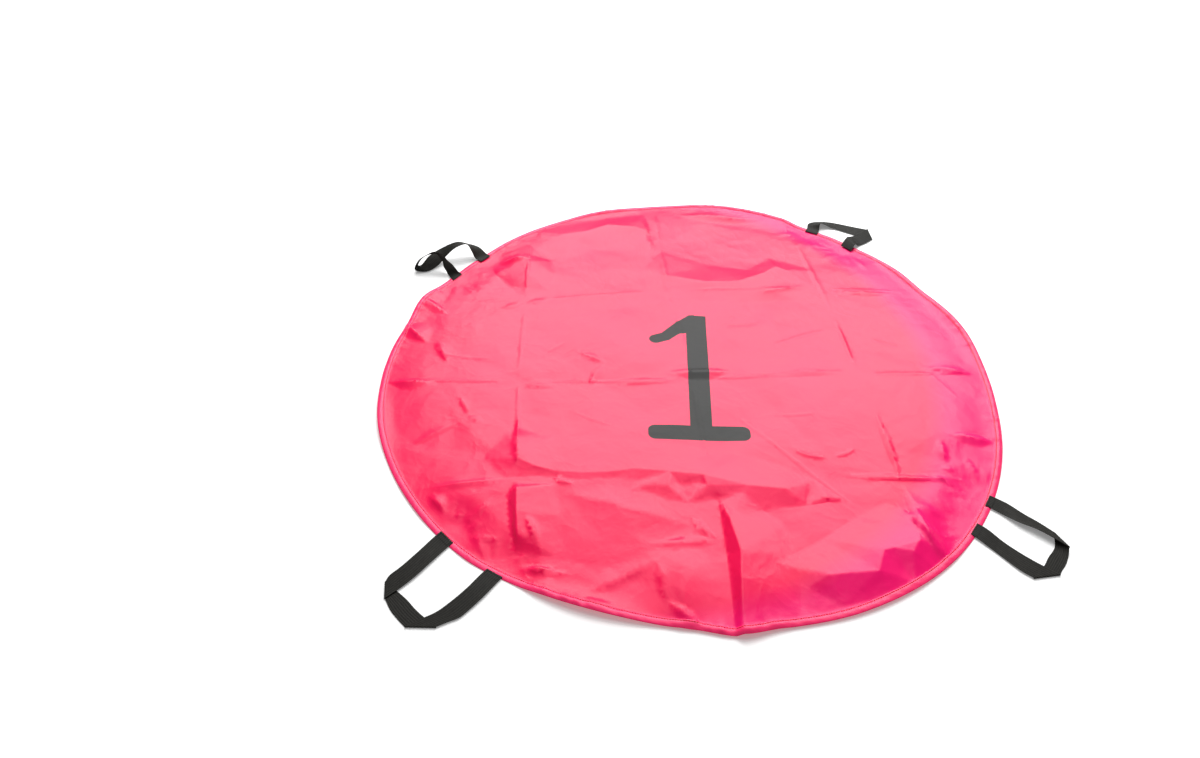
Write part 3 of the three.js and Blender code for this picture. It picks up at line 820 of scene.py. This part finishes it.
def stitch_tree():
    """A node tree that lays short stitches along an edge path."""
    made = bpy.data.node_groups.new("stitches_on_path", "GeometryNodeTree")
    sockets = [
        ("Path", "NodeSocketGeometry"), ("Pitch", "NodeSocketFloat"), ("Long", "NodeSocketFloat"),
        ("Half Thick", "NodeSocketFloat"), ("Seed", "NodeSocketInt"), ("Thread", "NodeSocketMaterial"),
    ]
    for name, kind in sockets:
        made.interface.new_socket(name, in_out="INPUT", socket_type=kind)
    made.interface.new_socket("Stitches", in_out="OUTPUT", socket_type="NodeSocketGeometry")
    given = add_node(made, "NodeGroupInput").outputs
    curve = add_node(made, "GeometryNodeMeshToCurve", {"Mesh": given["Path"]}).outputs[0]
    along = add_node(
        made, "GeometryNodeCurveToPoints", {"Curve": curve, "Length": given["Pitch"]}, mode="LENGTH"
    )
    bead = add_node(made, "GeometryNodeMeshUVSphere", {"Segments": 6, "Rings": 4, "Radius": 1.0}).outputs[0]
    half_long = add_node(made, "ShaderNodeMath", {0: given["Long"], 1: 0.5}, operation="MULTIPLY").outputs[0]
    size = add_node(
        made, "ShaderNodeCombineXYZ", {"X": half_long, "Y": given["Half Thick"], "Z": given["Half Thick"]}
    ).outputs[0]
    aim = add_node(
        made, "FunctionNodeAlignRotationToVector", {"Vector": along.outputs["Tangent"]}, axis="X"
    ).outputs[0]
    lean = add_node(
        made, "FunctionNodeRandomValue", {
            "Min": (0, 0, -STITCH_LEAN), "Max": (0, 0, STITCH_LEAN), "Seed": given["Seed"],
        }, data_type="FLOAT_VECTOR",
    ).outputs["Value"]
    turned = add_node(
        made, "FunctionNodeRotateRotation", {"Rotation": aim, "Rotate By": lean}, rotation_space="LOCAL"
    ).outputs[0]
    placed = add_node(made, "GeometryNodeInstanceOnPoints", {
        "Points": along.outputs["Points"], "Instance": bead, "Rotation": turned, "Scale": size,
    }).outputs[0]
    real = add_node(made, "GeometryNodeRealizeInstances", {"Geometry": placed}).outputs[0]
    smoothed = add_node(made, "GeometryNodeSetShadeSmooth", {"Geometry": real}).outputs[0]
    finished = add_node(
        made, "GeometryNodeSetMaterial", {"Geometry": smoothed, "Material": given["Thread"]}
    ).outputs[0]
    add_node(made, "NodeGroupOutput", {"Stitches": finished})
    return made


stitches_on_path = stitch_tree()


def stitched(name, path, joins, sizes):
    """Stitches along a path of points in millimetres, as a plain mesh."""
    guide = mesh_object(name + "_path", path, [], joins)
    modifier = guide.modifiers.new("stitches", "NODES")
    modifier.node_group = stitches_on_path
    for socket in stitches_on_path.interface.items_tree:
        if socket.in_out == "INPUT" and socket.name in sizes:
            modifier[socket.identifier] = sizes[socket.name]
    evaluated = guide.evaluated_get(bpy.context.evaluated_depsgraph_get())
    mesh = bpy.data.meshes.new_from_object(evaluated)
    mesh.name = name
    guide.modifiers.remove(modifier)
    bpy.data.objects.remove(guide)
    return put_in_scene(name, mesh)


def thread_material(name, colour):
    """Spun polyester thread. Its twist makes it soft and almost without gloss."""
    material, thread_tree = new_material(name)
    spot = add_node(thread_tree, "ShaderNodeTexCoord").outputs["Object"]
    twist = bumped(thread_tree, noise(thread_tree, spot, TWIST_SCALE)["Fac"], TWIST_DEEP)
    surface(thread_tree, {
        "Base Color": linear(colour), "Roughness": 0.7, "Normal": twist, "Specular IOR Level": 0.1,
    })
    return material


path_x, path_y = ring_points(STITCH_INSET)
path_z = lying_height(path_x, path_y) + UNDER_GAP + THREAD_OVER
hem_stitches = stitched(
    "hem_stitches",
    list(zip(path_x, path_y, path_z)),
    [(i, (i + 1) % SECTORS) for i in range(SECTORS)],
    {
        "Pitch": STITCH_PITCH * MM, "Long": STITCH_LONG * MM, "Half Thick": THREAD_HALF * MM, "Seed": 3,
        "Thread": thread_material("thread_orange_polyester", THREAD_ORANGE),
    },
)

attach(canopy, "root")
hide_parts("canopy")
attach(hem_stitches, "root")

# The hand loops. Heavy polypropylene webbing, 38 mm wide and ribbed lengthwise, cut hot so that its
# ends don't fray. Each loop is one length, and lies twisted or folded as it fell. A row in the tables
# gives the left and right edge at one place along it, and a new table starts where it folds over. Its
# middle is low on the floor, high on a layer of its own, or sewn on the hem.
STRAP_THICK = 1.6
SHOWN_THICK = 1.2
FLOOR_GAP = 0.2
LAYER_GAP = 0.7
HEM_TOP = 2.6
SEWN_GAP = 0.3
LAYER_RISE = STRAP_THICK + LAYER_GAP
LOW = FLOOR_GAP + STRAP_THICK / 2
HIGH = LOW + LAYER_RISE
SEWN = HEM_TOP + SEWN_GAP + STRAP_THICK / 2
STRAP_COLUMNS = "lx ly lz rx ry rz"
LOOPS = {
    "front_right": [
        [
            (585, -457, SEWN, 564, -483, SEWN), (599, -468, SEWN, 577, -495, SEWN),
            (614, -482, 4, 590, -508, 4), (634, -509, 5, 612, -533, 9),
            (656, -533, 5, 642, -558, 13), (676, -557, 4, 684, -600, 12),
        ],
        [
            (676, -557, 4 - LAYER_RISE, 684, -600, 12 - LAYER_RISE), (661, -592, 1.5, 679, -613, 3),
            (639, -613, LOW, 664, -633, LOW), (616, -637, LOW, 650, -646, LOW),
            (586, -660, LOW, 642, -655, LOW),
        ],
        [
            (586, -660, HIGH, 642, -655, HIGH), (570, -645, HIGH, 602, -620, HIGH),
            (537, -597, 2.5, 566, -577, 2.5), (516, -568, 4, 543, -542, 4),
            (505, -553, SEWN, 529, -527, SEWN),
        ],
    ],
    "front_left": [
        [
            (-537, -523, SEWN, -564, -493, SEWN), (-549, -535, SEWN, -577, -507, SEWN),
            (-577, -568, 5, -604, -541, 5), (-602, -597, 5, -633, -574, 5),
            (-626, -620, 4, -654, -594, 4), (-655, -643, HIGH, -659, -605, HIGH),
        ],
        [
            (-655, -643, LOW, -659, -605, LOW), (-642, -667, LOW, -615, -645, LOW),
            (-626, -687, LOW, -594, -669, LOW), (-611, -703, LOW, -553, -707, LOW),
        ],
        [
            (-611, -703, HIGH, -553, -707, HIGH), (-585, -690, HIGH, -534, -699, HIGH),
            (-556, -676, HIGH, -512, -690, HIGH), (-531, -656, 4, -497, -677, 4),
            (-503, -629, 5, -470, -649, 5), (-480, -601, 4.2, -448, -622, 4.2),
            (-467, -587, SEWN, -436, -608, SEWN),
        ],
    ],
    "back_right": [
        [
            (447, 587, SEWN, 479, 566, SEWN), (457, 602, 5, 489, 583, 7),
            (463, 619, 8, 493, 597, 17), (484, 634, 5, 496, 600, 20),
            (512, 638, 3, 512, 602, 14), (540, 633, 3, 530, 598, 6),
            (566, 622, 3, 546, 592, 3), (600, 602, 5, 582, 567, 2),
            (635, 575, 11, 640, 532, LOW),
        ],
        [
            (635, 575, 11 + LAYER_RISE, 640, 532, HIGH), (609, 558, 13, 616, 514, HIGH),
            (585, 543, 11, 592, 500, HIGH), (570, 535, 13, 583, 494, 7),
            (558, 527, 17, 573, 490, 15), (546, 515, 12, 565, 481, 11),
            (535, 503, SEWN, 557, 471, SEWN),
        ],
    ],
    "back_left": [
        [
            (-536, 465, SEWN, -511, 494, SEWN), (-553, 474, 9, -523, 499, 9),
            (-563, 483, 28, -544, 511, 24), (-575, 486, 50, -579, 518, 33),
            (-604, 478, 46, -605, 514, 42), (-635, 468, 24, -655, 501, 28),
            (-657, 449, 7, -687, 477, 19), (-689, 423, 3, -709, 455, 4),
            (-721, 420, 12, -717, 456, 3), (-710, 430, 35, -709, 462, 16),
            (-684, 435, 51, -690, 465, 30), (-662, 443, 56, -664, 469, 32),
            (-636, 430, 50, -653, 458, 27), (-626, 419, 43, -644, 444, 23),
            (-613, 415, 31, -641, 432, 13), (-604, 409, 21, -634, 422, 5),
            (-597, 406, 12, -626, 402, SEWN), (-587, 405, SEWN, -610, 375, SEWN),
        ],
    ],
}

# A strap's mesh: steps from row to row and round a fold, and across it ribs with a number of points each.
# The ribs are drawn fewer and deeper than real ones, so that they show. Both edges thin to a share.
STATION_STEPS = 9
TURN_STEPS = 6
RIBS = 8
POINTS_PER_RIB = 6
RIB_DEEP = 0.34
RIB_FLATNESS = 0.4
EDGE_ROUND = 60
EDGE_LEAST = 0.35
LEAST_NORMAL = 1e-9


def curve_through(corners, steps):
    """A centripetal curve through points, with the same number of steps between each two."""
    corners = np.array(corners, float)
    first, last = 2 * corners[0] - corners[1], 2 * corners[-1] - corners[-2]
    corners = np.vstack([first, corners, last])
    found = []
    for p0, p1, p2, p3 in zip(corners, corners[1:], corners[2:], corners[3:]):
        d0, d1, d2 = (np.linalg.norm(b - a) ** 0.5 for a, b in ((p0, p1), (p1, p2), (p2, p3)))
        slope_in = ((p1 - p0) / d0 - (p2 - p0) / (d0 + d1) + (p2 - p1) / d1) * d1
        slope_out = ((p2 - p1) / d1 - (p3 - p1) / (d1 + d2) + (p3 - p2) / d2) * d1
        found += [between(t, p1, p2, slope_in, slope_out) for t in np.arange(steps) / steps]
    found.append(corners[-2])
    return np.array(found)


def loop_edges(runs):
    """The left and right edge of a whole loop, with the half turn of each flat fold."""
    left, right = [], []
    for k, run in enumerate(runs):
        edges = [
            curve_through([(row["lx"], row["ly"], row["lz"]) for row in run], STATION_STEPS),
            curve_through([(row["rx"], row["ry"], row["rz"]) for row in run], STATION_STEPS),
        ]
        for edge in edges:
            edge[:, 2] = np.maximum(edge[:, 2], LOW)
        left += list(edges[0])
        right += list(edges[1])
        if k == len(runs) - 1:
            break
        following = runs[k + 1][0]
        fold = right[-1] - left[-1]
        outward = np.array([fold[1], -fold[0], 0]) / math.hypot(fold[0], fold[1])
        came = left[-1] + right[-1] - left[-2] - right[-2]
        if came @ outward < 0:
            outward = -outward
        ends = (left[-1].copy(), right[-1].copy())
        for turn in np.linspace(-90, 90, TURN_STEPS + 1)[1:-1]:
            for edge, end, rise in zip((left, right), ends, ("lz", "rz")):
                half = (following[rise] - end[2]) / 2
                out = abs(half) * math.cos(math.radians(turn))
                up = half * (1 + math.sin(math.radians(turn)))
                edge.append(end + outward * out + np.array([0, 0, up]))
    return np.array(left), np.array(right)


def webbing_strap(name, left, right):
    """A ribbed strap along both edges of a loop, and the length of its middle line."""
    stations = len(left)
    middle = (left + right) / 2
    travelled = np.concatenate([[0], np.cumsum(np.linalg.norm(np.diff(middle, axis=0), axis=1))])
    columns = RIBS * POINTS_PER_RIB + 1
    share = np.linspace(0, 1, columns)
    rib = RIB_DEEP * np.abs(np.sin(math.pi * share * RIBS)) ** RIB_FLATNESS
    to_edge = np.minimum(share, 1 - share)
    edge_round = np.clip(np.sqrt(to_edge * EDGE_ROUND), EDGE_LEAST, 1)
    half = (SHOWN_THICK / 2 - RIB_DEEP) * edge_round + rib
    vertices, faces, uvs = [], [], []
    for i in range(stations):
        before, after = max(0, i - 1), min(stations - 1, i + 1)
        across = right[i] - left[i]
        normals = []
        for edge in (left, right):
            normal = np.cross(across, edge[after] - edge[before])
            normals.append(normal / max(np.linalg.norm(normal), LEAST_NORMAL))
        line = left[i] + share[:, None] * across
        blended = normals[0] + share[:, None] * (normals[1] - normals[0])
        blended /= np.linalg.norm(blended, axis=1)[:, None]
        top = line + blended * half[:, None]
        under = (line - blended * half[:, None])[::-1]
        vertices += top.tolist() + under.tolist()
        uvs += [(s, travelled[i]) for s in share] + [(s, travelled[i]) for s in share[::-1]]
    around = 2 * columns
    for i in range(stations - 1):
        for k in range(around):
            a, b = i * around + k, i * around + (k + 1) % around
            faces.append([a, b, b + around, a + around])
    faces.append(list(range(around))[::-1])
    faces.append(list(range((stations - 1) * around, stations * around)))
    strap = mesh_object(name, vertices, faces)
    # How deep each point lies between two ribs; the material paints shade there.
    depth = 1 - rib / RIB_DEEP
    groove_shade_share = strap.data.attributes.new("groove_shade_share", "FLOAT", "POINT")
    groove_shade_share.data.foreach_set("value", np.tile(np.concatenate([depth, depth[::-1]]), stations))
    layer = strap.data.uv_layers.new(name="webbing")
    corner_vertices = np.empty(len(strap.data.loops), np.int32)
    strap.data.loops.foreach_get("vertex_index", corner_vertices)
    wide = np.linalg.norm(right - left, axis=1).mean()
    flat_uvs = np.array(uvs)[corner_vertices] * (wide * MM, MM)
    layer.data.foreach_set("uv", flat_uvs.ravel())
    return strap, travelled[-1]


# Polypropylene webbing, dyed in the yarn. Its hard yarns have a dull gloss with paler worn streaks along
# # them, and flecks break it up. The grooves between the ribs are painted near black as shade.
WEBBING_BLACK = "#0e0d0b"
WEBBING_WORN = "#31302b"
GROOVE_PAINTED_SHADE = "#030303"
YARN_STRETCH = (1, 0.06, 1)
STREAK_SCALE = 600
FLECK_SCALE = 700
FLECK_DEEP = 0.3
webbing, tree = new_material("webbing_black_polypropylene")
woven = add_node(tree, "ShaderNodeUVMap", uv_map="webbing").outputs[0]
drawn_out = add_node(tree, "ShaderNodeMapping", {"Vector": woven, "Scale": YARN_STRETCH}).outputs[0]
streak = noise(tree, drawn_out, STREAK_SCALE)["Fac"]
black = mixed(tree, streak, WEBBING_BLACK, WEBBING_WORN)
# Painted shade: the grooves between the ribs are darkened to near black.
groove_shade_share = add_node(tree, "ShaderNodeAttribute", attribute_name="groove_shade_share").outputs["Fac"]
black = mixed(tree, groove_shade_share, black, GROOVE_PAINTED_SHADE)
fleck = noise(tree, woven, FLECK_SCALE, 3)["Fac"]
surface(tree, {
    "Base Color": black, "Roughness": 0.6, "Specular IOR Level": 0.15,
    "Normal": bumped(tree, fleck, FLECK_DEEP, {"Strength": 0.6}),
})

# Each end is held by two rows of black thread across the strap, joined by a row near each edge. Rows
# are millimetres from the cut end, and sides are shares of the width.
BOX_ROWS = (3, 13)
BOX_SIDES = (0.1, 0.9)
BOX_OVER = 0.25
BOX_PITCH = 2.8
BOX_LONG = 2.3
BOX_HALF = 0.35
THREAD_BLACK = "#161513"
black_thread = thread_material("thread_black_polyester", THREAD_BLACK)


def box_path(left, right, inward):
    """The corners of a sewn box on the strap's end, whose edges leave it along inward."""
    corners = []
    for into, side in zip((0, 1, 1, 0), (0, 0, 1, 1)):
        place = left + (right - left) * BOX_SIDES[side] + inward * BOX_ROWS[into]
        corners.append(place + np.array([0, 0, SHOWN_THICK / 2 + BOX_OVER]))
    return corners


for side, tables in LOOPS.items():
    left, right = loop_edges([table(STRAP_COLUMNS, rows) for rows in tables])
    strap, long = webbing_strap("webbing_" + side, left, right)
    strap.data.materials.append(webbing)
    path, joins = [], []
    for end, next_to in ((0, 1), (-1, -2)):
        inward = (left[next_to] + right[next_to] - left[end] - right[end]) * (1, 1, 0)
        path += box_path(left[end], right[end], inward / np.linalg.norm(inward))
        joins += [(len(path) - 4 + i, len(path) - 4 + (i + 1) % 4) for i in range(4)]
    sewing = stitched("sewing_" + side, path, joins, {
        "Pitch": BOX_PITCH * MM, "Long": BOX_LONG * MM, "Half Thick": BOX_HALF * MM, "Seed": 5,
        "Thread": black_thread,
    })
    for piece in (strap, sewing):
        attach(piece, "root")
    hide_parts("handle_" + side)

# The room. A plain white floor that glows more the farther it is, as an evenly lit studio sweep does, a
# large soft box high at the back right, and a weak soft lamp overhead.
FLOOR_HALF = 9000
FLOOR_DROP = 0.2
FLOOR_GLOW = {"From Min": 0.9, "From Max": 2.4, "To Min": 0.2, "To Max": 0.95}
FLOOR_WHITE = "#f2f2f2"
LAMP_WHITE = "#ffffff"
ROOM_GLOW = 0.22
floor = mesh_object(
    "floor",
    [(x * FLOOR_HALF, y * FLOOR_HALF, 0) for x, y in ((-1, -1), (1, -1), (1, 1), (-1, 1))],
    [[0, 1, 2, 3]],
)
floor.location.z = -FLOOR_DROP * MM
paint, tree = new_material("floor_white")
spot = add_node(tree, "ShaderNodeTexCoord").outputs["Object"]
far = add_node(tree, "ShaderNodeVectorMath", {0: spot}, operation="LENGTH").outputs["Value"]
glow = add_node(tree, "ShaderNodeMapRange", {"Value": far, **FLOOR_GLOW}).outputs[0]
surface(tree, {
    "Base Color": linear(FLOOR_WHITE), "Roughness": 0.9, "Specular IOR Level": 0.1,
    "Emission Color": linear(LAMP_WHITE), "Emission Strength": glow,
})
floor.data.materials.append(paint)


def soft_lamp(name, at, towards, size, watts):
    """A rectangular area lamp in metres, turned towards a place."""
    data = bpy.data.lights.new(name, "AREA")
    data.shape = "RECTANGLE"
    data.size, data.size_y = size
    data.energy = watts
    lamp = put_in_scene(name, data)
    lamp.location = at
    lamp.rotation_euler = (Vector(towards) - Vector(at)).to_track_quat("-Z", "Y").to_euler()


soft_lamp("soft_box", at=(0.78, 2.9, 2.9), towards=(0.1, 0, 0), size=(4.8, 2.6), watts=278)
soft_lamp("overhead_lamp", at=(0.2, 0.8, 3.7), towards=(0, -0.2, 0), size=(3.0, 2.0), watts=48)
world = bpy.data.worlds.new("room")
world.use_nodes = True
world.node_tree.nodes["Background"].inputs["Color"].default_value = linear(LAMP_WHITE)
world.node_tree.nodes["Background"].inputs["Strength"].default_value = ROOM_GLOW
bpy.context.scene.world = world
bpy.context.scene.view_settings.view_transform = "Standard"
